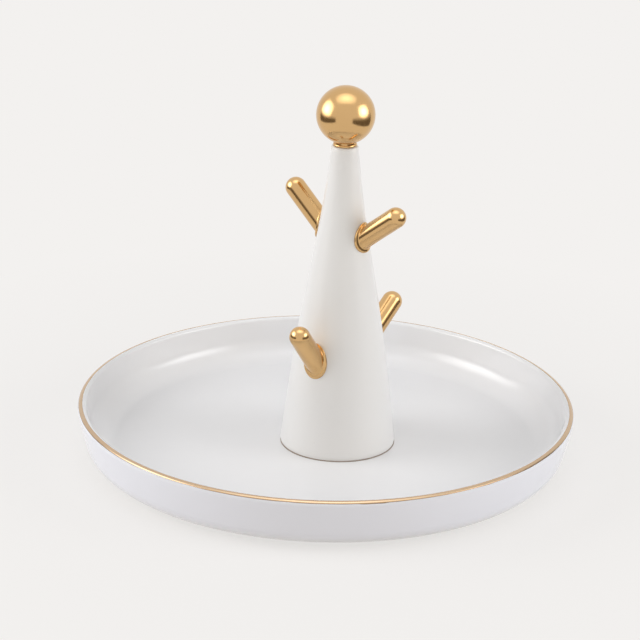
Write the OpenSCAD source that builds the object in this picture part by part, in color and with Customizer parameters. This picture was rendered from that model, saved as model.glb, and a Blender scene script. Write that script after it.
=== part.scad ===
// Ring dish: a round glazed porcelain dish with a gilded lip, a hollow porcelain
// post standing on its floor, a ball finial and four round pegs that hold rings.
// Millimetres, +Z up, origin at the middle of the dish on the table. The front,
// which the viewer faces, is on the -Y side.

/* [Dish] */
// Outside diameter of the rim
rim_d = 127; // [115:1:150]
// Height of the rim above the table
dish_h = 14.5; // [14:0.5:18]
// Depth of the flat floor below the rim
dish_depth = 10.5; // [9:0.5:11.5]
// Thickness of the wall, which is also the width of the rounded lip
wall_t = 2.2; // [1.6:0.1:3]
// Lean of the wall from upright, wider at the rim
wall_lean = 14; // [0:1:20]
// Radius of the outer corner between wall and underside
outer_corner_r = 5.5; // [3:0.5:8]
// Radius of the inner corner between wall and floor
inner_corner_r = 7; // [3:0.5:9]
// Outside diameter of the foot ring
foot_ring_d = 100; // [70:1:104]
// Width of the foot ring where it touches the table
foot_ring_w = 3; // [2:0.5:6]
// Height of the foot ring
foot_ring_h = 1.3; // [0.8:0.1:1.5]
// Gap between the table and the underside inside the foot ring
recess_h = 1.6; // [0.8:0.1:1.8]

/* [Gilding] */
// Thickness of the gold line, drawn thick enough to be a solid
gilding_t = 0.15; // [0.1:0.01:0.3]
// Angle on the lip's round section where the gold starts, outwards of the crest
gilding_outer_angle = 33; // [0:1:60]
// Angle on the lip's round section where the gold ends, inwards of the crest
gilding_inner_angle = 95; // [80:1:140]

/* [Post] */
// Distance of the post from the middle of the dish, to the right
post_x = 3.1; // [0:0.1:6]
// Height of the post from its foot to its shoulder
post_h = 79.25; // [72:0.25:90]
// Diameter of the post at its foot
post_foot_d = 29.5; // [26:0.5:34]
// Diameter of the post at its top
post_top_d = 6.8; // [6.4:0.1:9]
// How far the side swells low down and draws in higher up
post_belly = 0.4; // [0:0.05:0.8]
// Thickness of the post's wall
post_wall = 2.4; // [2:0.1:3]

/* [Finial] */
// Diameter of the ball
ball_d = 14.8; // [12:0.1:18]
// Height of the collar between the post and the edge of the ball's seat
collar_h = 1; // [0.8:0.1:3]
// Diameter of the collar's rolled lip
collar_lip_d = 6; // [5.4:0.1:6.4]
// Diameter of the collar where it meets the ball
collar_neck_d = 5.4; // [4.4:0.1:5.4]
// Diameter of the dowel pin that holds ball, collar and post together
pin_d = 2.5; // [2:0.1:3]
// Depth of the pin in the ball
pin_in_ball = 5.5; // [3:0.5:6]
// Depth of the pin in the post
pin_in_post = 9; // [6:0.5:10]

/* [Pegs] */
// Diameter of a peg
peg_d = 5.3; // [4:0.1:6]
// Length of a peg from the surface of the post to the end of its round tip
peg_reach = 14.3; // [11:0.1:20]
// Bearings from +X seen from above: upper front, upper back, lower front, lower back
peg_bearings = [-33, 145, -122, 50]; // [-180:1:180]
// Heights of the roots above the foot of the post, in the same order
peg_heights = [56.1, 57.2, 25, 25]; // [20:0.1:60]
// Rise of each peg above level, in the same order
peg_rises = [38.5, 43, 50.5, 39]; // [30:0.5:52]
// Diameter of the flange at the root of a peg
flange_d = 6.7; // [6.2:0.1:8]
// Thickness of the flange that hugs the post
flange_t = 0.6; // [0.3:0.1:1]
// Diameter of the stud that holds a peg in the wall of the post
stud_d = 3.2; // [2:0.1:3.6]
// Length of the stud behind the surface of the post
stud_l = 3.6; // [3:0.1:4]

/* [Bonding] */
// Thickness of the bond under the post
foot_bond_t = 0.25; // [0.1:0.05:0.5]
// How far the bond stays back from the edge of the foot
foot_bond_inset = 0.3; // [0:0.1:1]
// Radial gap filled by the bond around the pin and the studs
sleeve_bond_t = 0.15; // [0.1:0.05:0.25]

/* [Hidden] */
$fn = 96;

porcelain = "#f4f3f2";
gold = "#d9a860";
steel = "#b9bcc0";
adhesive = "#b7aa98";

// Dish section
rim_r = rim_d / 2;
lip_r = wall_t / 2;
lip_c = [rim_r - lip_r, dish_h - lip_r];
floor_z = dish_h - dish_depth;
foot_ring_slope = 0.7;
gilding_clearance = 1;

// Post section
post_ogee = 1.3;
post_steps = 24;
shoulder_r = 0.5;
foot_edge = 0.25;
cavity_h = 0.8 * post_h;
cavity_tip_h = 2;
post_z = floor_z + foot_bond_t;
post_top_z = post_z + post_h;

// Finial
ball_r = ball_d / 2;
pin_r = pin_d / 2;
pin_bore_r = pin_r + sleeve_bond_t;
pin_chamfer = 0.3;
collar_roll_r = 0.35;
ball_z = collar_h + sqrt(ball_r * ball_r - collar_neck_d * collar_neck_d / 4);

// Pegs
peg_r = peg_d / 2;
stud_r = stud_d / 2;
stud_hole_r = stud_r + sleeve_bond_t;
peg_start = -6;
flange_l = 14;

// Points on an arc in a plane of radius and height
function arc(centre, r, from, to, steps) =
    [for (i = [0:steps])
        let (a = from + (to - from) * i / steps)
        centre + r * [cos(a), sin(a)]];

// Radius at which a corner's centre lies, a given distance off the lip's centre
// square to the leaning wall, and at height z
function corner_x(off_lip, z) =
    lip_c.x + (off_lip + (z - lip_c.y) * sin(wall_lean)) / cos(wall_lean);

outer_corner_z = foot_ring_h + outer_corner_r;
inner_corner_z = floor_z + inner_corner_r;
outer_corner_c = [corner_x(lip_r - outer_corner_r, outer_corner_z), outer_corner_z];
inner_corner_c = [corner_x(-lip_r - inner_corner_r, inner_corner_z), inner_corner_z];

foot_ring_r = foot_ring_d / 2;
dish_section = concat(
    [
        [0, recess_h],
        [foot_ring_r - foot_ring_w - foot_ring_slope, recess_h],
        [foot_ring_r - foot_ring_w, 0],
        [foot_ring_r, 0],
        [foot_ring_r + foot_ring_slope, foot_ring_h]
    ],
    arc(outer_corner_c, outer_corner_r, -90, -wall_lean, 14),
    arc(lip_c, lip_r, -wall_lean, 180 - wall_lean, 24),
    arc(inner_corner_c, inner_corner_r, -wall_lean, -90, 16),
    [[0, floor_z]]
);

// Part of the lip's section that the gold takes up
gilding_section = concat(
    arc(lip_c, lip_r - gilding_t, gilding_outer_angle, gilding_inner_angle, 10),
    arc(lip_c, lip_r + gilding_clearance, gilding_inner_angle, gilding_outer_angle, 10)
);

// Radius of the post at height z: a straight taper, plus a swelling below the
// middle that turns into a slight hollow above it
function post_r(z) =
    let (t = z / post_h)
    post_foot_d / 2 - (post_foot_d - post_top_d) / 2 * t
        + post_belly * sin(360 * pow(t, post_ogee));

// Outline of the post's side from its foot up, moved out by a distance
function post_side(out, top) =
    [for (i = [1:post_steps])
        let (z = top * i / post_steps)
        [post_r(z) + out, z]];

module post_envelope() {
    rotate_extrude()
        polygon(concat(
            [[0, 0], [post_r(0) - foot_edge, 0], [post_r(foot_edge), foot_edge]],
            post_side(0, post_h - shoulder_r),
            arc([post_r(post_h) - shoulder_r, post_h - shoulder_r], shoulder_r, 30, 90, 4),
            [[0, post_h]]
        ));
}

module post_cavity() {
    rotate_extrude()
        polygon(concat(
            [[0, -1], [post_r(0) - post_wall, -1], [post_r(0) - post_wall, 0]],
            post_side(-post_wall, cavity_h),
            [[0, cavity_h + cavity_tip_h]]
        ));
}

// The post without its peg holes
module post_wall_body() {
    difference() {
        post_envelope();
        post_cavity();
        translate([0, 0, cavity_h])
            cylinder(r = pin_bore_r, h = post_h);
    }
}

// Moves children from a peg's own frame, with its axis along +Z and its root at
// the origin, to peg i on the post
module on_peg(i) {
    rotate([0, 0, peg_bearings[i]])
        translate([post_r(peg_heights[i]), 0, peg_heights[i]])
            rotate([0, 90 - peg_rises[i], 0])
                children();
}

module on_post() {
    translate([post_x, 0, post_z])
        children();
}

module peg_hole(r) {
    translate([0, 0, peg_start])
        cylinder(r = r, h = -2 * peg_start);
}

module peg_rod() {
    translate([0, 0, peg_start])
        cylinder(r = peg_r, h = peg_reach - peg_r - peg_start);
    translate([0, 0, peg_reach - peg_r])
        sphere(r = peg_r);
}

module peg_flange(i) {
    intersection() {
        on_peg(i)
            translate([0, 0, peg_start])
                cylinder(d = flange_d, h = flange_l);
        rotate_extrude()
            polygon(concat(
                [[0, 0], [post_r(0) + flange_t, 0]],
                post_side(flange_t, post_h),
                [[0, post_h]]
            ));
    }
}

module peg_stud() {
    translate([0, 0, -stud_l])
        cylinder(r = stud_r, h = stud_l + peg_d / 2);
}

module peg(i) {
    color(gold)
        on_post() {
            difference() {
                union() {
                    on_peg(i) peg_rod();
                    peg_flange(i);
                }
                post_envelope();
            }
            on_peg(i) peg_stud();
        }
}

module dish() {
    color(porcelain)
        rotate_extrude($fn = 180)
            difference() {
                polygon(dish_section);
                polygon(gilding_section);
            }
}

module rim_gilding() {
    color(gold)
        rotate_extrude($fn = 180)
            intersection() {
                polygon(dish_section);
                polygon(gilding_section);
            }
}

module post() {
    color(porcelain)
        on_post()
            difference() {
                post_wall_body();
                for (i = [0:3])
                    on_peg(i) peg_hole(stud_hole_r);
            }
}

module post_foot_bond() {
    color(adhesive)
        translate([post_x, 0, floor_z])
            difference() {
                cylinder(r = post_r(0) - foot_edge - foot_bond_inset, h = foot_bond_t);
                translate([0, 0, -1])
                    cylinder(r = post_r(0) - post_wall + foot_bond_inset, h = foot_bond_t + 2);
            }
}

module finial_ball() {
    color(gold)
        translate([post_x, 0, post_top_z + ball_z])
            difference() {
                sphere(r = ball_r);
                translate([0, 0, -ball_r - 1])
                    cylinder(r = pin_r, h = pin_in_ball + 1);
            }
}

module finial_collar() {
    color(gold)
        translate([post_x, 0, post_top_z])
            difference() {
                rotate_extrude()
                    polygon(concat(
                        [[pin_r, 0]],
                        arc([collar_lip_d / 2 - collar_roll_r, collar_roll_r], collar_roll_r, -90, 90, 8),
                        [[collar_neck_d / 2, collar_h], [pin_r, collar_h]]
                    ));
                translate([0, 0, ball_z])
                    sphere(r = ball_r);
            }
}

module finial_pin() {
    pin_top = ball_z - ball_r + pin_in_ball;
    color(steel)
        translate([post_x, 0, post_top_z])
            rotate_extrude()
                polygon([
                    [0, -pin_in_post],
                    [pin_r - pin_chamfer, -pin_in_post],
                    [pin_r, pin_chamfer - pin_in_post],
                    [pin_r, pin_top - pin_chamfer],
                    [pin_r - pin_chamfer, pin_top],
                    [0, pin_top]
                ]);
}

module finial_bond() {
    color(adhesive)
        translate([post_x, 0, post_top_z - pin_in_post + pin_chamfer])
            difference() {
                cylinder(r = pin_bore_r, h = pin_in_post - pin_chamfer);
                translate([0, 0, -1])
                    cylinder(r = pin_r, h = pin_in_post + 2);
            }
}

module peg_bonds() {
    color(adhesive)
        on_post()
            for (i = [0:3])
                intersection() {
                    post_wall_body();
                    on_peg(i)
                        difference() {
                            peg_hole(stud_hole_r);
                            translate([0, 0, -stud_l - 1])
                                peg_hole(stud_r);
                            peg_hole(stud_r);
                        }
                }
}

module peg_upper_front() { peg(0); }
module peg_upper_back() { peg(1); }
module peg_lower_front() { peg(2); }
module peg_lower_back() { peg(3); }

dish();
rim_gilding();
post();
post_foot_bond();
finial_ball();
finial_collar();
finial_pin();
finial_bond();
peg_upper_front();
peg_upper_back();
peg_lower_front();
peg_lower_back();
peg_bonds();
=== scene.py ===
# %% [markdown]
# # A porcelain ring dish with a post, a ball and four pegs
#
# The object is a shallow round dish of white porcelain. A fired gold line runs on its lip.
# A hollow tapered post stands on the floor, a little to the right of the middle. Four
# polished gold pegs slant out of the post, and a gold ball sits on its top.
#
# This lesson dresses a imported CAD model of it. Every size is in metres. The CAD parts fix
# where everything goes, so each piece is made in place: its object stays at the origin,
# and its position is in its mesh.

# %% Load the CAD frame
import math

import bmesh
import bpy
from mathutils import Matrix, Vector


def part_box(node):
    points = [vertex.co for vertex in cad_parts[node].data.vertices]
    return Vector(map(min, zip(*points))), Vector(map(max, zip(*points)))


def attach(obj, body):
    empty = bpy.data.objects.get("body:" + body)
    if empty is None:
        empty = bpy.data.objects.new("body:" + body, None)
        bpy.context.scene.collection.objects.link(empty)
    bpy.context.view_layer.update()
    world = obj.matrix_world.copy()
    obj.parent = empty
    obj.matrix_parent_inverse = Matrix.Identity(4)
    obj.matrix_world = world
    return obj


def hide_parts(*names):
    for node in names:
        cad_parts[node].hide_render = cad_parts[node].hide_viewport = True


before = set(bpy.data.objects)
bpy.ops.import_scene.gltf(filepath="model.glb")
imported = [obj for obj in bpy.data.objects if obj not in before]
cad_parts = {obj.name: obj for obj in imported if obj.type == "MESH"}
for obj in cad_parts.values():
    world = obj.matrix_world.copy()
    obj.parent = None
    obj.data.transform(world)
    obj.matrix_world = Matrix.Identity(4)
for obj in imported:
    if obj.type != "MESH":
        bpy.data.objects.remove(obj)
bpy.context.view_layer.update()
MM = 0.001

# %% [markdown]
# ## The camera
#
# The photograph was taken from the front, about 20 degrees above the table, with a long
# lens. A long lens keeps the ellipse of the rim even. The camera could be aimed with a
# Track To constraint, but a rotation worked out from its elevation is exact and needs no
# target object. The view is rolled by about a degree, because the real picture is. A
# small shift puts the dish where it is in the frame, and there is no depth of field.

# %% Place the camera
IMAGE_PX = 640
AIM = Vector((0, 0, 0.040))
AIM_PX = (328.4, 308.5)
CAMERA_DISTANCE = 0.8
CAMERA_ELEVATION = math.radians(20.5)
CAMERA_ROLL = math.radians(1.45)
FOCAL_PX = 3154
SENSOR_MM = 36
NEAR_LIMIT = 0.05

camera_data = bpy.data.cameras.new("camera")
camera_data.sensor_width = SENSOR_MM
camera_data.lens = FOCAL_PX / IMAGE_PX * SENSOR_MM
camera_data.shift_x = (IMAGE_PX / 2 - AIM_PX[0]) / IMAGE_PX
camera_data.shift_y = (AIM_PX[1] - IMAGE_PX / 2) / IMAGE_PX
camera_data.clip_start = NEAR_LIMIT
camera = bpy.data.objects.new("camera", camera_data)
bpy.context.collection.objects.link(camera)
towards_camera = Vector((0, -math.cos(CAMERA_ELEVATION), math.sin(CAMERA_ELEVATION)))
camera.location = AIM + CAMERA_DISTANCE * towards_camera
level_view = Matrix.Rotation(math.pi / 2 - CAMERA_ELEVATION, 4, "X")
camera.rotation_euler = (level_view @ Matrix.Rotation(CAMERA_ROLL, 4, "Z")).to_euler()
bpy.context.scene.camera = camera
print("lens", round(camera_data.lens, 1), "mm")

# %% [markdown]
# ## Sizes taken from the frame
#
# Most sizes can be read off the boxes of the CAD nodes: the rim's radius and height, the
# place and height of the post, the ball. That way a change to the CAD model carries over.
# The few that a box doesn't show, such as the lean of the wall, are named here.

# %% Read the sizes of the dish
gold_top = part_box("rim_gilding")[1][2]
dish_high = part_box("dish")[1]
RIM_R = dish_high[0]
DISH_H = max(dish_high[2], gold_top)
DISH_DEPTH = 10.5 * MM
WALL_T = 2.2 * MM
WALL_LEAN = math.radians(14)
OUTER_CORNER_R = 5.5 * MM
INNER_CORNER_R = 7 * MM
FOOT_RING_R = 50 * MM
FOOT_RING_W = 3 * MM
FOOT_RING_SLOPE = 0.7 * MM
FOOT_RING_H = 1.3 * MM
FOOT_EDGE_R = 0.35 * MM
RECESS_H = 1.6 * MM
RECESS_EDGE = 1 * MM
FLOOR_Z = DISH_H - DISH_DEPTH
LIP_R = WALL_T / 2
LIP_CENTRE = (RIM_R - LIP_R, DISH_H - LIP_R)
print("rim radius", RIM_R, "height", DISH_H, "floor at", FLOOR_Z)

# %% Read the sizes of the post
post_low, post_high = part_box("post")
POST_X = (post_low[0] + post_high[0]) / 2
POST_Z = post_low[2]
POST_H = post_high[2] - POST_Z
POST_FOOT_R = 14.75 * MM
POST_TOP_R = 3.4 * MM
POST_BELLY = 0.4 * MM
POST_OGEE = 1.3
POST_WALL = 2.4 * MM
print("post at x", POST_X, "from", POST_Z, "height", POST_H)

# %% [markdown]
# ## A potter's wheel in code
#
# Dish, post, ball and collar are all round about an upright axis. They could be turned
# with the Screw modifier, but a small function that lays rings of vertices is as short.
# It also closes the poles cleanly and gives every piece the same smooth, dense mesh that
# a glossy surface needs. An outline is a list of (radius, height) points.

# %% Helpers for outlines and rings
POLE_R = 1e-9
WELD_DISTANCE = 1e-7
SHARP_ANGLE = math.radians(40)


def arc(centre, r, start, end, steps):
    """Points on an arc in the plane of radius and height, angles in degrees."""
    angles = [math.radians(start + (end - start) * i / steps) for i in range(steps + 1)]
    return [(centre[0] + r * math.cos(a), centre[1] + r * math.sin(a)) for a in angles]


def skin(bm, rings, count):
    """Joins each ring to the next; a ring of one vertex is a pole."""
    for below, above in zip(rings, rings[1:]):
        for i in range(count):
            j = (i + 1) % count
            corners = [below[i % len(below)], below[j % len(below)],
                       above[j % len(above)], above[i % len(above)]]
            bm.faces.new(list(dict.fromkeys(corners)))


def finish_mesh(name, bm):
    """Makes an object of a bmesh, smooth except at its sharp edges."""
    bmesh.ops.remove_doubles(bm, verts=bm.verts, dist=WELD_DISTANCE)
    bmesh.ops.recalc_face_normals(bm, faces=bm.faces)
    mesh = bpy.data.meshes.new(name)
    bm.to_mesh(mesh)
    bm.free()
    mesh.shade_smooth()
    mesh.set_sharp_from_angle(angle=SHARP_ANGLE)
    piece = bpy.data.objects.new(name, mesh)
    bpy.context.collection.objects.link(piece)
    print(name, len(mesh.polygons), "faces")
    return piece


def turn(name, outline, centre_x=0.0, turns=256, closed=False):
    """Turns an outline round the upright axis at centre_x."""
    bm = bmesh.new()
    rings = []
    for radius, height in outline:
        if radius < POLE_R:
            rings.append([bm.verts.new((centre_x, 0, height))])
            continue
        angles = [2 * math.pi * i / turns for i in range(turns)]
        rings.append([
            bm.verts.new((centre_x + radius * math.cos(a), radius * math.sin(a), height))
            for a in angles
        ])
    if closed:
        rings.append(rings[0])
    skin(bm, rings, turns)
    return finish_mesh(name, bm)


# %% [markdown]
# ## The dish
#
# The real dish is pressed or cast, fettled, glazed and fired. Its section is one smooth
# line: a flat floor, a rounded corner, a wall that leans out, a full round lip, and the
# same again on the outside down to a ground foot ring. A bevelled cylinder would come
# near, but its wall wouldn't lean and its lip wouldn't be round. The corner arcs are
# worked out so that they touch the leaning wall, as a template's would.

# %% Turn the dish
DISH_TURNS = 360
CORNER_STEPS = 24
LIP_STEPS = 32
FOOT_EDGE_STEPS = 6


def corner_centre(off_lip, z):
    """Where a corner's arc is centred, so that it touches the leaning wall."""
    lean_shift = off_lip + (z - LIP_CENTRE[1]) * math.sin(WALL_LEAN)
    return (LIP_CENTRE[0] + lean_shift / math.cos(WALL_LEAN), z)


lean_deg = math.degrees(WALL_LEAN)
outer_corner = corner_centre(LIP_R - OUTER_CORNER_R, FOOT_RING_H + OUTER_CORNER_R)
inner_corner = corner_centre(-LIP_R - INNER_CORNER_R, FLOOR_Z + INNER_CORNER_R)
ring_inner_r = FOOT_RING_R - FOOT_RING_W
ring_inner_edge = (ring_inner_r + FOOT_EDGE_R, FOOT_EDGE_R)
ring_outer_edge = (FOOT_RING_R - FOOT_EDGE_R, FOOT_EDGE_R)
dish_outline = (
    [(0, RECESS_H), (ring_inner_r - FOOT_RING_SLOPE - RECESS_EDGE, RECESS_H)]
    + arc(ring_inner_edge, FOOT_EDGE_R, 200, 270, FOOT_EDGE_STEPS)
    + arc(ring_outer_edge, FOOT_EDGE_R, -90, -25, FOOT_EDGE_STEPS)
    + [(FOOT_RING_R + FOOT_RING_SLOPE, FOOT_RING_H)]
    + arc(outer_corner, OUTER_CORNER_R, -90, -lean_deg, CORNER_STEPS)
    + arc(LIP_CENTRE, LIP_R, -lean_deg, 180 - lean_deg, LIP_STEPS)
    + arc(inner_corner, INNER_CORNER_R, -lean_deg, -90, CORNER_STEPS)
    + [(0, FLOOR_Z)]
)
dish = turn("dish_porcelain", dish_outline, turns=DISH_TURNS)

# %% [markdown]
# ## The post
#
# The post is slip-cast, so it is hollow, with a wall of even thickness. Its side isn't a
# plain cone: it swells a little low down and draws in higher up. It could be a scaled
# cone with a lattice, but one formula gives the radius at every height, the inside
# follows the same formula, and the pegs can ask it where the surface is.

# %% Turn the post
POST_RINGS = 120
FOOT_CHAMFER = 0.25 * MM
SHOULDER_R = 0.5 * MM
SHOULDER_STEPS = 8
CAVITY_H = 0.8 * POST_H
CAVITY_TIP_H = 2 * MM
BORE_R = 1.4 * MM


def post_radius(z):
    """Radius of the post at a height above its foot."""
    t = min(max(z / POST_H, 0), 1)
    swelling = POST_BELLY * math.sin(2 * math.pi * t**POST_OGEE)
    return POST_FOOT_R + (POST_TOP_R - POST_FOOT_R) * t + swelling


side_top = POST_H - SHOULDER_R
outer_side = [side_top * i / POST_RINGS for i in range(POST_RINGS + 1)]
inner_side = [CAVITY_H * (1 - i / POST_RINGS) for i in range(POST_RINGS + 1)]
shoulder_centre = (post_radius(POST_H) - SHOULDER_R, side_top)
post_outline = (
    [(post_radius(0) - FOOT_CHAMFER, 0)]
    + [(post_radius(z), z) for z in outer_side if z >= FOOT_CHAMFER]
    + arc(shoulder_centre, SHOULDER_R, 15, 90, SHOULDER_STEPS)
    + [(BORE_R, POST_H), (BORE_R, CAVITY_H + CAVITY_TIP_H / 2)]
    + [(post_radius(z) - POST_WALL, z) for z in inner_side]
)
post = turn("post_porcelain", [(r, POST_Z + z) for r, z in post_outline], POST_X, closed=True)

# %% [markdown]
# ## Where the pegs go
#
# Four pegs wind up the post, two low and two high. Each is known by three numbers: its
# bearing round the post, the height of its root, and how steeply it rises. From them come
# the root point, the peg's axis, and two directions square to it.

# %% Place the pegs
PEGS = {
    "upper_front": dict(bearing=-33, height=56.1 * MM, rise=38.5),
    "upper_back": dict(bearing=145, height=57.2 * MM, rise=43),
    "lower_front": dict(bearing=-122, height=25 * MM, rise=50.5),
    "lower_back": dict(bearing=50, height=25 * MM, rise=39),
}


def peg_frame(bearing, height, rise):
    """Root of a peg on the post, its axis, and two directions square to the axis."""
    b, e = math.radians(bearing), math.radians(rise)
    outward = Vector((math.cos(b), math.sin(b), 0))
    root = Vector((POST_X, 0, POST_Z + height)) + post_radius(height) * outward
    axis = outward * math.cos(e) + Vector((0, 0, math.sin(e)))
    side = Vector((-math.sin(b), math.cos(b), 0))
    return root, axis, side, axis.cross(side)


for key, place in PEGS.items():
    root, axis, _, _ = peg_frame(**place)
    print(key, "root", [round(x, 4) for x in root], "axis", [round(x, 3) for x in axis])

# %% [markdown]
# ## The pegs
#
# Each peg is a polished rod with a round tip. A thin flange at its root hugs the post, and
# a stud behind it goes through the wall. A flange cut from a flat disc would stand off the
# round post at its sides. So every vertex of a peg lies on a line parallel to the peg's
# axis, and the rings of the flange slide along those lines until they meet the post.

# %% Find the post along a line
SEARCH_REACH = 9 * MM
HALVINGS = 40


def meet_post(start, axis, lift):
    """Distance along a line to the surface of the post, lifted off it by lift."""
    near, far = -SEARCH_REACH, SEARCH_REACH
    for _ in range(HALVINGS):
        middle = (near + far) / 2
        p = start + middle * axis
        outside = math.hypot(p.x - POST_X, p.y) > post_radius(p.z - POST_Z) + lift
        near, far = (near, middle) if outside else (middle, far)
    return (near + far) / 2


probe_root, probe_axis, _, _ = peg_frame(**PEGS["upper_front"])
print("a root is", round(meet_post(probe_root, probe_axis, 0), 6), "m off the post")

# %% Make the pegs
PEG_R = 2.65 * MM
PEG_REACH = 14.3 * MM
PEG_SIDES = 96
ROD_ROWS = 14
TIP_STEPS = 24
FLANGE_R = 3.35 * MM
FLANGE_T = 0.6 * MM
FLANGE_EDGE = 0.18 * MM
FLANGE_EDGE_STEPS = 5
ROOT_FILLET = 0.22 * MM
ROOT_FILLET_STEPS = 6
STUD_R = 1.6 * MM
STUD_L = 3.6 * MM
STUD_CHAMFER = 0.2 * MM


def flange_outline():
    """The flange and its fillet as (distance from the axis, lift off the post)."""
    edge_r = FLANGE_R - FLANGE_EDGE
    return (
        [(STUD_R, 0), (edge_r, 0)]
        + arc((edge_r, FLANGE_EDGE), FLANGE_EDGE, -90, 0, FLANGE_EDGE_STEPS)
        + arc((edge_r, FLANGE_T - FLANGE_EDGE), FLANGE_EDGE, 0, 90, FLANGE_EDGE_STEPS)
        + arc((PEG_R + ROOT_FILLET, FLANGE_T + ROOT_FILLET), ROOT_FILLET, 270, 180,
              ROOT_FILLET_STEPS)
    )


def peg(name, bearing, height, rise):
    """One peg from the end of its stud to its round tip."""
    root, axis, side, up = peg_frame(bearing, height, rise)
    bm = bmesh.new()

    def ring(radius, distance):
        """One ring; distance is a number, or a function of the line's start."""
        verts = []
        for i in range(PEG_SIDES):
            a = 2 * math.pi * i / PEG_SIDES
            start = root + radius * (math.cos(a) * side + math.sin(a) * up)
            s = distance(start) if callable(distance) else distance
            verts.append(bm.verts.new(start + s * axis))
        return verts

    rings = [[bm.verts.new(root - STUD_L * axis)]]
    rings.append(ring(STUD_R - STUD_CHAMFER, -STUD_L))
    rings.append(ring(STUD_R, -STUD_L + STUD_CHAMFER))
    hugging = flange_outline()
    for radius, lift in hugging:
        rings.append(ring(radius, lambda start, lift=lift: meet_post(start, axis, lift)))
    fillet_top = hugging[-1][1]
    tip_start = PEG_REACH - PEG_R
    for row in range(1, ROD_ROWS + 1):
        share = row / ROD_ROWS
        rings.append(ring(PEG_R, lambda start, share=share: (
            (1 - share) * meet_post(start, axis, fillet_top) + share * tip_start)))
    for radius, along in arc((0, tip_start), PEG_R, 0, 90, TIP_STEPS)[1:-1]:
        rings.append(ring(radius, along))
    rings.append([bm.verts.new(root + PEG_REACH * axis)])
    skin(bm, rings, PEG_SIDES)
    return finish_mesh(name, bm)


pegs = {key: peg("peg_rod_" + key, **place) for key, place in PEGS.items()}

# %% [markdown]
# ## Drilling the post
#
# The studs need holes of their own. A plain cylinder along each peg's axis is the drill,
# and it is thrown away once the Boolean modifier has cut its hole, as the maker's drill
# does. The holes are smaller than the flanges, so the cut edges stay covered.

# %% Drill the stud holes
STUD_HOLE_R = 1.75 * MM
DRILL_L = 12 * MM
DRILL_SIDES = 48


def drill(name, bearing, height, rise):
    """A cylinder along a peg's axis, from inside the post to just outside it."""
    root, axis, side, up = peg_frame(bearing, height, rise)
    bm = bmesh.new()
    turn_to_axis = Matrix((side, up, axis)).transposed().to_4x4()
    bmesh.ops.create_cone(bm, cap_ends=True, segments=DRILL_SIDES, radius1=STUD_HOLE_R,
                          radius2=STUD_HOLE_R, depth=DRILL_L,
                          matrix=Matrix.Translation(root) @ turn_to_axis)
    return finish_mesh(name, bm)


bits = [drill("drill_" + key, **place) for key, place in PEGS.items()]
for bit in bits:
    cut = post.modifiers.new(bit.name, "BOOLEAN")
    cut.operation = "DIFFERENCE"
    cut.solver = "EXACT"
    cut.object = bit
drilled = bpy.data.meshes.new_from_object(
    post.evaluated_get(bpy.context.evaluated_depsgraph_get()))
post.modifiers.clear()
post.data = drilled
for bit in bits:
    bpy.data.objects.remove(bit)
post.data.set_sharp_from_angle(angle=SHARP_ANGLE)
print("post after drilling:", len(post.data.polygons), "faces")

# %% [markdown]
# ## The finial
#
# The ball and its collar are two turned pieces of plated brass. The ball has a blind hole
# for the pin, and a UV sphere would have none. The collar is a short ring with a rolled
# lower lip, hollowed on top to seat the ball. The fine dark line where they meet is real,
# so they stay two pieces.

# %% Turn the ball
PIN_R = 1.25 * MM
BALL_HOLE = 5.5 * MM
BALL_STEPS = 120
ball_low, ball_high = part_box("finial_ball")
BALL_R = max(ball_high[2] - ball_low[2], ball_high[0] - ball_low[0]) / 2
BALL_Z = ball_high[2] - BALL_R
hole_top = BALL_Z - BALL_R + BALL_HOLE
hole_half = math.degrees(math.asin(PIN_R / BALL_R))
ball_outline = (
    [(0, hole_top), (PIN_R, hole_top)]
    + arc((0, BALL_Z), BALL_R, -90 + hole_half, 90, BALL_STEPS)[:-1]
    + [(0, BALL_Z + BALL_R)]
)
ball = turn("finial_ball_polished", ball_outline, POST_X)

# %% Turn the collar
COLLAR_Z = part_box("finial_collar")[0][2]
COLLAR_LIP_R = 3.0 * MM
COLLAR_NECK_R = 2.7 * MM
COLLAR_ROLL_R = 0.35 * MM
COLLAR_ROLL_STEPS = 12
COLLAR_TURNS = 192
SEAT_STEPS = 8
SEAT_GAP = 0.005 * MM


def under_ball(radius):
    """Height of the ball's underside at a distance from its axis."""
    return BALL_Z - math.sqrt(BALL_R**2 - radius**2)


seat_run = PIN_R - COLLAR_NECK_R
seat_radii = [COLLAR_NECK_R + seat_run * i / SEAT_STEPS for i in range(SEAT_STEPS + 1)]
roll_centre = (COLLAR_LIP_R - COLLAR_ROLL_R, COLLAR_Z + COLLAR_ROLL_R)
collar_outline = (
    [(PIN_R, COLLAR_Z)]
    + arc(roll_centre, COLLAR_ROLL_R, -90, 80, COLLAR_ROLL_STEPS)
    + [(r, under_ball(r) - SEAT_GAP) for r in seat_radii]
)
collar = turn("finial_collar_polished", collar_outline, POST_X, turns=COLLAR_TURNS, closed=True)

# %% [markdown]
# ## Small helpers for node trees
#
# The gold line is made with Geometry Nodes, and every finish is a node tree too. Both are
# built here in code. A few helpers keep that readable: one adds a Math node, one links a
# socket or sets a plain value, one maps a value to a range.

# %% Node helpers


def wire(tree, value, socket):
    """Links a socket or sets a plain value."""
    if isinstance(value, bpy.types.NodeSocket):
        tree.links.new(value, socket)
    else:
        socket.default_value = value


def calc(tree, operation, *values):
    """One Math node."""
    node = tree.nodes.new("ShaderNodeMath")
    node.operation = operation
    for value, socket in zip(values, node.inputs):
        wire(tree, value, socket)
    return node.outputs[0]


def combine(tree, x, y, z):
    """A vector of three values."""
    node = tree.nodes.new("ShaderNodeCombineXYZ")
    for value, socket in zip((x, y, z), node.inputs):
        wire(tree, value, socket)
    return node.outputs[0]


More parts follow.
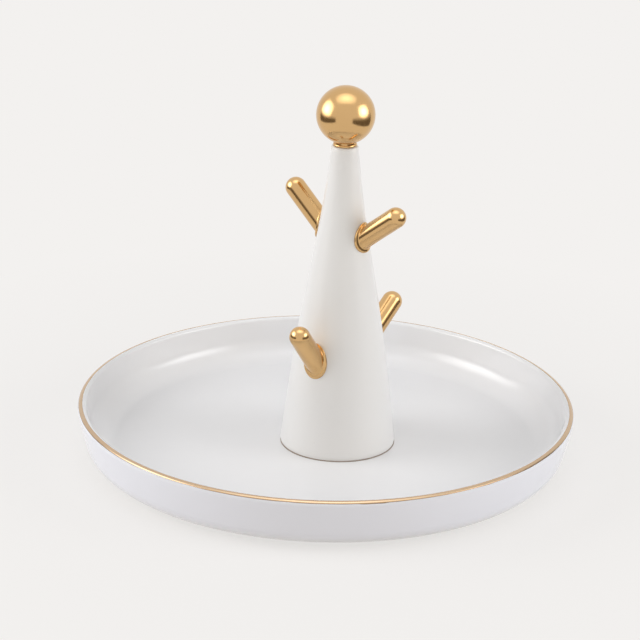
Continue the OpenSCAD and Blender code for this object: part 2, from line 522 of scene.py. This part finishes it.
def separate(tree, vector):
    """The X, Y and Z sockets of a vector."""
    node = tree.nodes.new("ShaderNodeSeparateXYZ")
    tree.links.new(vector, node.inputs[0])
    return node.outputs


def length(tree, vector):
    """The length of a vector."""
    node = tree.nodes.new("ShaderNodeVectorMath")
    node.operation = "LENGTH"
    tree.links.new(vector, node.inputs[0])
    return node.outputs["Value"]


def spread(tree, value, low, high, from_low=0.0, from_high=1.0):
    """Maps a value from one range to another, and stops at its ends."""
    node = tree.nodes.new("ShaderNodeMapRange")
    node.inputs["From Min"].default_value = from_low
    node.inputs["From Max"].default_value = from_high
    node.inputs["To Min"].default_value = low
    node.inputs["To Max"].default_value = high
    tree.links.new(value, node.inputs["Value"])
    return node.outputs["Result"]


def blend_colour(tree, factor, first, second):
    """Mixes two colours, given as sockets or as (red, green, blue)."""
    node = tree.nodes.new("ShaderNodeMix")
    node.data_type = "RGBA"
    wire(tree, factor, node.inputs[0])
    for colour, socket in ((first, node.inputs[6]), (second, node.inputs[7])):
        wire(tree, (*colour, 1) if isinstance(colour, tuple) else colour, socket)
    return node.outputs[2]


# %% [markdown]
# ## Finishes
#
# Four real finishes meet here: clear gloss glaze on the dish, a softer satin glaze on the
# post, mirror-polished gold plate, and the fired gold line. None is a flat colour. An
# image texture could carry the detail, but noise nodes need no file and no unwrapping.
# All patterns read Object coordinates, so they stay put when the part moves.

# %% Material helpers


def new_material(name):
    """A material with its Principled shader and object coordinates ready to use."""
    material = bpy.data.materials.new(name)
    material.use_nodes = True
    tree = material.node_tree
    shader = next(n for n in tree.nodes if n.type == "BSDF_PRINCIPLED")
    place = tree.nodes.new("ShaderNodeTexCoord").outputs["Object"]
    return material, tree, shader, place


def noise(tree, place, size, detail=2.0, stretch=(1, 1, 1)):
    """Noise whose blobs are about size metres across."""
    mapping = tree.nodes.new("ShaderNodeMapping")
    mapping.inputs["Scale"].default_value = stretch
    tree.links.new(place, mapping.inputs["Vector"])
    node = tree.nodes.new("ShaderNodeTexNoise")
    node.inputs["Scale"].default_value = 1 / size
    node.inputs["Detail"].default_value = detail
    tree.links.new(mapping.outputs[0], node.inputs["Vector"])
    return node.outputs["Fac"]


def bump(tree, shader, *layers):
    """Stacks bump layers of (height field, depth in metres) under the shader."""
    normal = None
    for height, depth in layers:
        node = tree.nodes.new("ShaderNodeBump")
        node.inputs["Strength"].default_value = 1.0
        node.inputs["Distance"].default_value = depth
        tree.links.new(height, node.inputs["Height"])
        if normal:
            tree.links.new(normal, node.inputs["Normal"])
        normal = node.outputs[0]
    tree.links.new(normal, shader.inputs["Normal"])


# %% [markdown]
# ## Glaze
#
# Porcelain under clear glaze is never one white. It clouds a little, carries a few faint
# specks, and its surface ripples very slightly, which bends the edges of reflections. On
# this dish the outside of the wall gets painted shade, a darker and cooler colour, and the
# ground face of the foot ring is bare, matt body. Both places are found from the shape
# itself: the line of the wall and the height above the table.

# %% Porcelain
CLOUD_SIZE = 0.03
SPECK_SIZE = 0.0006
SPECK_COLOUR = (0.55, 0.52, 0.48)
SPECK_STRENGTH = 0.35
SPECK_LEVELS = (0.87, 0.93)
RIPPLE_SIZE, RIPPLE_DEPTH = 0.012, 0.00006
PEEL_SIZE, PEEL_DEPTH = 0.0018, 0.000004
GLOSS_SIZE = 0.02
# Painted shade: the outer wall is coloured darker and cooler than the glaze inside.
OUTER_WALL_SHADE_COLOUR = (0.765, 0.77, 0.825)
BARE_COLOUR = (0.72, 0.69, 0.63)
BARE_ROUGHNESS = 0.6
BARE_HEIGHT = 0.5 * MM
BARE_FADE = 0.7


def porcelain(name, tint, warm, rough, ior):
    """Glazed white porcelain; returns its parts, so that the dish can add to them."""
    material, tree, shader, place = new_material(name)
    colour = blend_colour(tree, noise(tree, place, CLOUD_SIZE, detail=3), tint, warm)
    speck_field = noise(tree, place, SPECK_SIZE, detail=0)
    specks = spread(tree, speck_field, 0, SPECK_STRENGTH, *SPECK_LEVELS)
    colour = blend_colour(tree, specks, colour, SPECK_COLOUR)
    roughness = spread(tree, noise(tree, place, GLOSS_SIZE), *rough)
    tree.links.new(colour, shader.inputs["Base Color"])
    tree.links.new(roughness, shader.inputs["Roughness"])
    shader.inputs["IOR"].default_value = ior
    ripple = noise(tree, place, RIPPLE_SIZE, detail=1)
    peel = noise(tree, place, PEEL_SIZE, detail=1)
    bump(tree, shader, (ripple, RIPPLE_DEPTH), (peel, PEEL_DEPTH))
    return material, tree, shader, place, colour, roughness


def shade_dish(tree, shader, place, colour, roughness):
    """Paints shade on the outer wall, darker and cooler, and bares the foot ring."""
    height = separate(tree, place)["Z"]
    from_axis = length(tree, combine(tree, *separate(tree, place)[:2], 0))
    slope = math.tan(WALL_LEAN)
    past_wall = calc(tree, "SUBTRACT", from_axis, calc(tree, "MULTIPLY", height, slope))
    wall_r = LIP_CENTRE[0] - LIP_CENTRE[1] * slope
    # The mask for the painted shade on the outer wall.
    outside = spread(tree, past_wall, 0, 1, wall_r, wall_r + LIP_R)
    colour = blend_colour(tree, outside, colour, OUTER_WALL_SHADE_COLOUR)
    bare = spread(tree, height, 1, 0, BARE_HEIGHT * BARE_FADE, BARE_HEIGHT)
    colour = blend_colour(tree, bare, colour, BARE_COLOUR)
    roughness = calc(tree, "ADD", roughness, calc(tree, "MULTIPLY", bare, BARE_ROUGHNESS))
    tree.links.new(colour, shader.inputs["Base Color"])
    tree.links.new(roughness, shader.inputs["Roughness"])


gloss_glaze, *dish_parts = porcelain(
    "gloss_glaze", tint=(0.80, 0.795, 0.805), warm=(0.83, 0.825, 0.83),
    rough=(0.08, 0.15), ior=1.6)
shade_dish(*dish_parts)
satin_glaze, *_ = porcelain(
    "satin_glaze", tint=(0.765, 0.755, 0.745), warm=(0.795, 0.785, 0.775),
    rough=(0.28, 0.38), ior=1.5)
print("porcelain ready")

# %% [markdown]
# ## Gold
#
# Gold plate is a metal, so its colour is the colour of its reflections. Real plate is
# never a perfect mirror: polishing leaves fine lines and faint haze, and handling varies
# them. The fired line is the same metal but rougher and paler, and where the film thins
# out at its outer edge it turns brown.

# %% Gold plate and the gold line's finish
GOLD_CLOUD = 0.006
GOLD_HAZE = 0.003
SCRATCH_SIZE, SCRATCH_DEPTH = 0.0006, 0.0000006
SCRATCH_STRETCH = (1, 1, 0.12)
WAVE_SIZE, WAVE_DEPTH = 0.005, 0.00001
THIN_GOLD = (0.30, 0.18, 0.085)
THIN_BAND = 0.14 * MM
THIN_EDGE_Z = LIP_CENTRE[1] + LIP_R * math.sin(math.radians(34))


def gold(name, colour, deep, rough, edge_z=None):
    """Polished gold with faint haze and fine marks; below edge_z it thins out to brown."""
    material, tree, shader, place = new_material(name)
    tone = blend_colour(tree, noise(tree, place, GOLD_CLOUD), colour, deep)
    if edge_z is not None:
        thin = spread(tree, separate(tree, place)["Z"], 1, 0, edge_z, edge_z + THIN_BAND)
        tone = blend_colour(tree, thin, tone, THIN_GOLD)
    tree.links.new(tone, shader.inputs["Base Color"])
    roughness = spread(tree, noise(tree, place, GOLD_HAZE, detail=4), *rough)
    tree.links.new(roughness, shader.inputs["Roughness"])
    shader.inputs["Metallic"].default_value = 1.0
    scratches = noise(tree, place, SCRATCH_SIZE, stretch=SCRATCH_STRETCH)
    wave = noise(tree, place, WAVE_SIZE, detail=1)
    bump(tree, shader, (wave, WAVE_DEPTH), (scratches, SCRATCH_DEPTH))
    return material


gold_plate = gold(
    "gold_plate", colour=(0.72, 0.465, 0.215), deep=(0.68, 0.43, 0.19), rough=(0.12, 0.18))
gold_line_paint = gold(
    "gold_line", colour=(0.66, 0.49, 0.33), deep=(0.58, 0.42, 0.27), rough=(0.16, 0.28),
    edge_z=THIN_EDGE_Z)
print("gold ready")

# %% [markdown]
# ## Putty and steel
#
# The putty is matt and a little grainy. The pin is ground steel and is hidden in the ball
# and the post. It still gets a finish of its own, because the parts may be seen apart.

# %% Putty and steel
GRAIN_GLOSS_RANGE = 0.12


def grained(name, light, dark, rough, grain, depth, metallic=0.0):
    """A quiet finish whose tone, gloss and surface follow one fine grain."""
    material, tree, shader, place = new_material(name)
    field = noise(tree, place, grain, detail=4)
    tree.links.new(blend_colour(tree, field, light, dark), shader.inputs["Base Color"])
    roughness = spread(tree, field, rough, rough + GRAIN_GLOSS_RANGE)
    tree.links.new(roughness, shader.inputs["Roughness"])
    shader.inputs["Metallic"].default_value = metallic
    bump(tree, shader, (field, depth))
    return material


# The dark taupe is partly the putty's own colour and partly painted shade for the crevice round
# the post's foot.
putty_and_crevice_shade = grained("putty_and_crevice_shade", light=(0.36, 0.30, 0.25), dark=(0.26, 0.21, 0.17),
                     rough=0.55, grain=0.0008, depth=0.00003)
pin_steel = grained("pin_steel", light=(0.62, 0.63, 0.65), dark=(0.5, 0.51, 0.53),
                    rough=0.25, grain=0.0005, depth=0.000002, metallic=1.0)
print("putty and steel ready")

# %% [markdown]
# ## The gold line
#
# The line is liquid gold, brushed on the glazed lip while the dish turns on a wheel, and
# fired. It follows the lip, its edges wander a little, and it is a touch wider where the
# brush met its own start. It could be painted on the dish by a mask, but a film of its own
# has a real edge and its own finish. Geometry Nodes suit a strip that follows a path: a
# flat grid is bent round the lip, noise moves its two edges, and its second half is laid
# back underneath, so that the film is closed.

# %% Start the line's tree
LINE_SIZES = {
    "Rim Radius": LIP_CENTRE[0],
    "Rim Height": LIP_CENTRE[1],
    "Lip Radius": LIP_R,
    "Outer Angle": math.radians(33),
    "Inner Angle": math.radians(95),
    "Edge Wander": math.radians(9),
    "Film": 0.02 * MM,
    "Join Bearing": math.radians(-79),
    "Join Half Width": math.radians(3.5),
    "Join Widening": math.radians(7),
    "Join Thickening": 0.8,
}
LINE_STEPS = 1080
LINE_ACROSS = 24

tree = bpy.data.node_groups.new("brushed_line", "GeometryNodeTree")
for label in LINE_SIZES:
    tree.interface.new_socket(label, in_out="INPUT", socket_type="NodeSocketFloat")
tree.interface.new_socket("Finish", in_out="INPUT", socket_type="NodeSocketMaterial")
tree.interface.new_socket("Geometry", in_out="OUTPUT", socket_type="NodeSocketGeometry")
size = tree.nodes.new("NodeGroupInput").outputs
grid = tree.nodes.new("GeometryNodeMeshGrid")
grid.inputs["Size X"].default_value = 1
grid.inputs["Size Y"].default_value = 1
grid.inputs["Vertices X"].default_value = LINE_STEPS + 1
grid.inputs["Vertices Y"].default_value = LINE_ACROSS + 1
print("the line has", LINE_STEPS, "steps round the rim")

# %% [markdown]
# ## Round the rim and across the lip
#
# One side of the grid becomes the bearing round the rim. The other runs once across the
# film's top and back across its underside: across goes 0 to 1 to 0, and facing says which
# of the two faces it is.

# %% Bearing, across and facing
sheet = separate(tree, tree.nodes.new("GeometryNodeInputPosition").outputs[0])
bearing = calc(tree, "MULTIPLY", calc(tree, "ADD", sheet[0], 0.5), 2 * math.pi)
rim_x = calc(tree, "COSINE", bearing)
rim_y = calc(tree, "SINE", bearing)
lap = calc(tree, "MULTIPLY", sheet[1], 2)
across = calc(tree, "SUBTRACT", 1, calc(tree, "ABSOLUTE", lap))
facing = calc(tree, "SIGN", lap)
print("nodes so far:", len(tree.nodes))

# %% [markdown]
# ## The brush's unsteady edges
#
# A brush line is never even. Plain noise along the line would leave a step where the line
# ends, so it is read on a circle, where it meets itself after a full turn. Each edge reads
# a fixed level of its own. At the join the line is wider and thicker, for a few degrees.

# %% Edges and join
EDGE_NOISE_SCALE = 9
EDGE_NOISE_DETAIL = 3
OUTER_NOISE_LEVEL = 0.0
INNER_NOISE_LEVEL = 5.0
JOIN_STEEPNESS = 900


def edge_wander(level):
    """How far an edge strays, from noise taken on a circle at its own level."""
    field = tree.nodes.new("ShaderNodeTexNoise")
    field.inputs["Scale"].default_value = EDGE_NOISE_SCALE
    field.inputs["Detail"].default_value = EDGE_NOISE_DETAIL
    tree.links.new(combine(tree, rim_x, rim_y, level), field.inputs["Vector"])
    centred = calc(tree, "SUBTRACT", field.outputs["Fac"], 0.5)
    return calc(tree, "MULTIPLY", centred, size["Edge Wander"])


off_join = calc(tree, "COSINE", calc(tree, "SUBTRACT", bearing, size["Join Bearing"]))
join_edge = calc(tree, "COSINE", size["Join Half Width"])
join = calc(tree, "MULTIPLY", calc(tree, "SUBTRACT", off_join, join_edge), JOIN_STEEPNESS)
join = calc(tree, "MINIMUM", calc(tree, "MAXIMUM", join, 0), 1)
outer = calc(tree, "ADD", size["Outer Angle"], edge_wander(OUTER_NOISE_LEVEL))
outer = calc(tree, "SUBTRACT", outer, calc(tree, "MULTIPLY", join, size["Join Widening"]))
inner = calc(tree, "ADD", size["Inner Angle"], edge_wander(INNER_NOISE_LEVEL))
print("nodes so far:", len(tree.nodes))

# %% [markdown]
# ## A film on the lip
#
# The film is thickest along its middle and thins out to nothing at both edges, as liquid
# gold does. Its upper face stands out from the lip by that much, and its lower face sinks
# in by as much.

# %% Bend the grid round the lip
CROWN_POWER = 6

line_width = calc(tree, "SUBTRACT", inner, outer)
lip_angle = calc(tree, "ADD", outer, calc(tree, "MULTIPLY", across, line_width))
off_middle = calc(tree, "SUBTRACT", calc(tree, "MULTIPLY", across, 2), 1)
thinning = calc(tree, "POWER", calc(tree, "ABSOLUTE", off_middle), CROWN_POWER)
crown = calc(tree, "SUBTRACT", 1, thinning)
thickening = calc(tree, "ADD", 1, calc(tree, "MULTIPLY", join, size["Join Thickening"]))
film = calc(tree, "MULTIPLY", crown, calc(tree, "MULTIPLY", size["Film"], thickening))
off_lip = calc(tree, "ADD", size["Lip Radius"], calc(tree, "MULTIPLY", facing, film))
lip_out = calc(tree, "MULTIPLY", off_lip, calc(tree, "COSINE", lip_angle))
lip_up = calc(tree, "MULTIPLY", off_lip, calc(tree, "SINE", lip_angle))
line_r = calc(tree, "ADD", size["Rim Radius"], lip_out)
line_z = calc(tree, "ADD", size["Rim Height"], lip_up)
line_x = calc(tree, "MULTIPLY", line_r, rim_x)
line_y = calc(tree, "MULTIPLY", line_r, rim_y)
point = combine(tree, line_x, line_y, line_z)
print("nodes so far:", len(tree.nodes))

# %% Finish the tree
bend = tree.nodes.new("GeometryNodeSetPosition")
tree.links.new(grid.outputs["Mesh"], bend.inputs["Geometry"])
tree.links.new(point, bend.inputs["Position"])
weld = tree.nodes.new("GeometryNodeMergeByDistance")
weld.inputs["Distance"].default_value = WELD_DISTANCE
tree.links.new(bend.outputs[0], weld.inputs["Geometry"])
realize = tree.nodes.new("GeometryNodeRealizeInstances")
tree.links.new(weld.outputs[0], realize.inputs[0])
paint = tree.nodes.new("GeometryNodeSetMaterial")
tree.links.new(realize.outputs[0], paint.inputs["Geometry"])
tree.links.new(size["Finish"], paint.inputs["Material"])
tree.links.new(paint.outputs[0], tree.nodes.new("NodeGroupOutput").inputs[0])
print("the line's tree has", len(tree.nodes), "nodes")

# %% [markdown]
# ## From a modifier to a plain mesh
#
# The tree runs as a modifier on an empty mesh. Its inputs are set by the sockets'
# identifiers before anything is evaluated. The result is then kept as a plain mesh, the
# modifier goes, and the faces are turned outwards.

# %% Run the line's tree
gold_line = bpy.data.objects.new("gold_line_brushed", bpy.data.meshes.new("gold_line_brushed"))
bpy.context.collection.objects.link(gold_line)
modifier = gold_line.modifiers.new("build", "NODES")
modifier.node_group = tree
sockets = {i.name: i.identifier for i in tree.interface.items_tree if i.in_out == "INPUT"}
for label, value in LINE_SIZES.items():
    modifier[sockets[label]] = float(value)
modifier[sockets["Finish"]] = gold_line_paint
line_mesh = bpy.data.meshes.new_from_object(
    gold_line.evaluated_get(bpy.context.evaluated_depsgraph_get()))
gold_line.modifiers.clear()
gold_line.data = line_mesh
line_mesh.shade_smooth()
bm = bmesh.new()
bm.from_mesh(line_mesh)
bmesh.ops.recalc_face_normals(bm, faces=bm.faces)
bm.to_mesh(line_mesh)
bm.free()
print("gold line:", len(line_mesh.polygons), "faces")

# %% [markdown]
# ## The bond under the post
#
# The post is bonded to the glazed floor with a taupe putty. A thin line of it shows all
# round the foot, where it was pressed out and wiped. Its dark colour is partly the putty's
# own and partly painted shade for the crevice under the foot. A turned ring would be too
# even, so each point round the bead is moved by a few slow waves.

# %% Lay the bond
BOND_IN_R = 12.7 * MM
BOND_OUT_R = 14.55 * MM
BEAD_R = 0.13 * MM
BEAD_INSET = 0.02 * MM
BEAD_FOOT = 0.12 * MM
BEAD_STEPS = 6
BEAD_TURNS = 192
WAVE_HEIGHT = 0.05 * MM
WAVES = ((0.5, 5, 1), (0.3, 11, 2), (0.2, 23, 0))
OUTER_BAND = 0.2 * MM
TOP_BAND = 0.01 * MM

bond_section = (
    [(BOND_IN_R, FLOOR_Z), (BOND_OUT_R + BEAD_FOOT, FLOOR_Z)]
    + arc((BOND_OUT_R - BEAD_INSET, POST_Z - BEAD_R), BEAD_R, -20, 90, BEAD_STEPS)
    + [(BOND_IN_R, POST_Z)]
)
bond = turn("foot_bond_bead", bond_section, POST_X, turns=BEAD_TURNS, closed=True)
for vertex in bond.data.vertices:
    out = Vector((vertex.co.x - POST_X, vertex.co.y))
    if out.length > BOND_OUT_R - OUTER_BAND and vertex.co.z < POST_Z - TOP_BAND:
        a = math.atan2(out.y, out.x)
        wave = sum(share * math.sin(count * a + start) for share, count, start in WAVES)
        out *= 1 + WAVE_HEIGHT * wave / out.length
        vertex.co.x, vertex.co.y = POST_X + out.x, out.y
print("bond waved by up to", WAVE_HEIGHT, "m")

# %% [markdown]
# ## Dress the pieces
#
# Each new piece gets its finish, rides on the one body of this part, and stands in for the
# CAD node of the same shape. The hidden pin and the sleeves of bond stay as CAD nodes and
# only get a better material.

# %% Finish, ride and replace
dressing = [
    (dish, "dish", gloss_glaze, "glazed_porcelain"),
    (gold_line, "rim_gilding", gold_line_paint, "fired_gold_line"),
    (post, "post", satin_glaze, "satin_porcelain"),
    (bond, "post_foot_bond", putty_and_crevice_shade, "bond"),
    (ball, "finial_ball", gold_plate, "polished_gold_plate"),
    (collar, "finial_collar", gold_plate, "polished_gold_plate"),
]
dressing += [(rod, "peg_" + key, gold_plate, "polished_gold_plate") for key, rod in pegs.items()]
for piece, node, finish, slot in dressing:
    piece.data.materials.clear()
    piece.data.materials.append(finish)
    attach(piece, "root")
    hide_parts(node)

kept_nodes = {"finial_pin": pin_steel, "finial_bond": putty_and_crevice_shade, "peg_bonds": putty_and_crevice_shade}
for node, finish in kept_nodes.items():
    for material_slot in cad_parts[node].material_slots:
        material_slot.material = finish
print(len(dressing), "pieces dressed,", len(kept_nodes), "CAD nodes kept")

# %% [markdown]
# ## The lamps
#
# The picture was lit by a softbox on each side and a larger one overhead, and the ball
# shows all three. A plain area lamp would leave a hard-edged patch in the gold. A real
# softbox is bright in the middle and fades towards its edges, so the lamps do too: a
# lamp's own nodes can read where on the lamp a ray starts. A weak warm fill from the
# front lifts the near side, and no reflection shows it.

# %% Softboxes
FADE_STRENGTHS = (1.9, 0.12)
FADE_SPAN = (0.1, 0.56)
TOWARDS = Vector((0, 0, 0.08))


def softbox(name, place, width, height, radiance, aim=TOWARDS, roll=0.0):
    """A rectangular lamp, bright in the middle and fading to its edges as cloth does."""
    data = bpy.data.lights.new(name, "AREA")
    data.shape = "RECTANGLE"
    data.size = width
    data.size_y = height
    data.energy = radiance * math.pi * width * height
    data.use_nodes = True
    lamp_tree = data.node_tree
    emission = next(n for n in lamp_tree.nodes if n.type == "EMISSION")
    to_centre = lamp_tree.nodes.new("ShaderNodeVectorMath")
    to_centre.operation = "DISTANCE"
    to_centre.inputs[1].default_value = (0.5, 0.5, 0)
    on_lamp = lamp_tree.nodes.new("ShaderNodeNewGeometry").outputs["Parametric"]
    lamp_tree.links.new(on_lamp, to_centre.inputs[0])
    fade = spread(lamp_tree, to_centre.outputs["Value"], *FADE_STRENGTHS, *FADE_SPAN)
    lamp_tree.links.new(fade, emission.inputs["Strength"])
    lamp = bpy.data.objects.new(name, data)
    bpy.context.collection.objects.link(lamp)
    lamp.location = place
    facing = (aim - Vector(place)).to_track_quat("-Z", "Y").to_matrix()
    lamp.rotation_euler = (facing @ Matrix.Rotation(roll, 3, "Z")).to_euler()
    lamp.visible_camera = False
    return lamp


softbox("softbox_left", (-0.60, -0.03, 0.28), 0.66, 0.60, 2.3)
softbox("softbox_right", (0.60, -0.13, 0.25), 0.56, 0.50, 2.5, roll=math.radians(-18))
softbox("softbox_top", (0, -0.10, 0.95), 1.15, 0.80, 0.75, aim=Vector((0, -0.02, 0)))
front_fill = softbox("front_fill", (0, -0.90, 0.35), 0.8, 0.5, 0.75, aim=Vector((0, 0, 0.04)))
front_fill.data.color = (1.0, 0.75, 0.35)
front_fill.visible_glossy = False
print("four lamps")

# %% [markdown]
# ## The surroundings
#
# The background is a pale warm grey. The camera sees it as a colour of its own, through
# Light Path, so that it doesn't depend on the lamps, and polished gold shows it too. One
# colour for both would be simpler, but then a paler background would also light the dish
# more. So the light that the surroundings add to the object is set apart from it.

# %% World
BACKGROUND = (0.896, 0.879, 0.863, 1)
FILL_COLOUR = (0.95, 0.97, 1.0, 1)
FILL_STRENGTH = 0.47


def seen_directly(tree):
    """1 for rays that show the background: camera, glossy and transmission."""
    rays = tree.nodes.new("ShaderNodeLightPath").outputs
    either = calc(tree, "MAXIMUM", rays["Is Camera Ray"], rays["Is Glossy Ray"])
    return calc(tree, "MAXIMUM", either, rays["Is Transmission Ray"])


def choose(tree, factor, first, second):
    """Mixes two shaders."""
    node = tree.nodes.new("ShaderNodeMixShader")
    for socket, target in zip((factor, first, second), node.inputs):
        tree.links.new(socket, target)
    return node.outputs[0]


world = bpy.data.worlds.new("studio")
bpy.context.scene.world = world
world.use_nodes = True
world_tree = world.node_tree
world_tree.nodes.clear()
fill = world_tree.nodes.new("ShaderNodeBackground")
fill.inputs["Color"].default_value = FILL_COLOUR
fill.inputs["Strength"].default_value = FILL_STRENGTH
shown = world_tree.nodes.new("ShaderNodeBackground")
shown.inputs["Color"].default_value = BACKGROUND
surroundings = choose(world_tree, seen_directly(world_tree), fill.outputs[0], shown.outputs[0])
world_out = world_tree.nodes.new("ShaderNodeOutputWorld")
world_tree.links.new(surroundings, world_out.inputs["Surface"])
print("world ready")

# %% [markdown]
# ## The floor
#
# The floor is plain pale paper. Near the dish part of it is a real matt surface, which
# holds the soft shadow. Further out it passes into the plain background colour, so no
# edge or falloff shows. From below it is see-through, so the underside can be looked at.

# %% Floor
FLOOR_REACH = 2.5
FLOOR_GAP = 0.00005
PAPER_COLOUR = (0.84, 0.825, 0.81, 1)
SHADOW_SHARE = 0.24
SHADOW_SPAN = (0.075, 0.16)


def stage_card(name, corners, material):
    """A flat card that isn't part of the object."""
    mesh = bpy.data.meshes.new(name)
    mesh.from_pydata(corners, [], [(0, 1, 2, 3)])
    mesh.materials.append(material)
    card = bpy.data.objects.new(name, mesh)
    bpy.context.collection.objects.link(card)
    return card


paper = bpy.data.materials.new("pale_paper")
paper.use_nodes = True
paper_tree = paper.node_tree
paper_tree.nodes.clear()
matt = paper_tree.nodes.new("ShaderNodeBsdfDiffuse")
matt.inputs["Color"].default_value = PAPER_COLOUR
plain = paper_tree.nodes.new("ShaderNodeEmission")
plain.inputs["Color"].default_value = BACKGROUND
from_dish = length(paper_tree, paper_tree.nodes.new("ShaderNodeTexCoord").outputs["Object"])
plain_share = spread(paper_tree, from_dish, 1 - SHADOW_SHARE, 1, *SHADOW_SPAN)
plain_share = calc(paper_tree, "MULTIPLY", seen_directly(paper_tree), plain_share)
top_side = choose(paper_tree, plain_share, matt.outputs[0], plain.outputs[0])
from_below = paper_tree.nodes.new("ShaderNodeNewGeometry").outputs["Backfacing"]
see_through = paper_tree.nodes.new("ShaderNodeBsdfTransparent").outputs[0]
both_sides = choose(paper_tree, from_below, top_side, see_through)
paper_out = paper_tree.nodes.new("ShaderNodeOutputMaterial")
paper_tree.links.new(both_sides, paper_out.inputs["Surface"])
floor_corners = [(x * FLOOR_REACH, y * FLOOR_REACH, -FLOOR_GAP)
                 for x, y in ((-1, -1), (1, -1), (1, 1), (-1, 1))]
stage_card("floor", floor_corners, paper)
print("floor ready")

# %% [markdown]
# ## What the gold sees
#
# Polished gold looks flat when it has nothing dark to show, and the real ball has a dark
# patch low on each side. A photographer sets black card beside shiny metal for that. Two
# upright dark cards do it here, and they thin out towards the top, into the softbox. Only
# reflections see them, so they take no light from the dish.

# %% Dark cards
CARD_LOW = 0.001
CARD_FADE = 0.5
CARD_COLOUR = (0.02, 0.018, 0.015, 1)
CARD_GLOW = (0.13, 0.11, 0.09, 1)


def dark_card(name, start, end, top):
    """An upright dark card that only reflections see; it thins out towards its top."""
    cloth, cloth_tree, shader, place = new_material(name)
    shader.inputs["Base Color"].default_value = CARD_COLOUR
    shader.inputs["Roughness"].default_value = 1.0
    shader.inputs["Emission Color"].default_value = CARD_GLOW
    shader.inputs["Emission Strength"].default_value = 1.0
    height = separate(cloth_tree, place)["Z"]
    solid = spread(cloth_tree, height, 1, 0, top * CARD_FADE, top)
    cloth_tree.links.new(solid, shader.inputs["Alpha"])
    corners = [(*start, CARD_LOW), (*end, CARD_LOW), (*end, top), (*start, top)]
    card = stage_card(name, corners, cloth)
    card.visible_camera = False
    card.visible_diffuse = False
    card.visible_shadow = False


dark_card("dark_left", (-0.205, -0.26), (-0.225, 0.10), 0.115)
dark_card("dark_right", (0.135, -0.27), (0.165, 0.06), 0.110)
bpy.context.scene.view_settings.view_transform = "Standard"
print("studio ready")
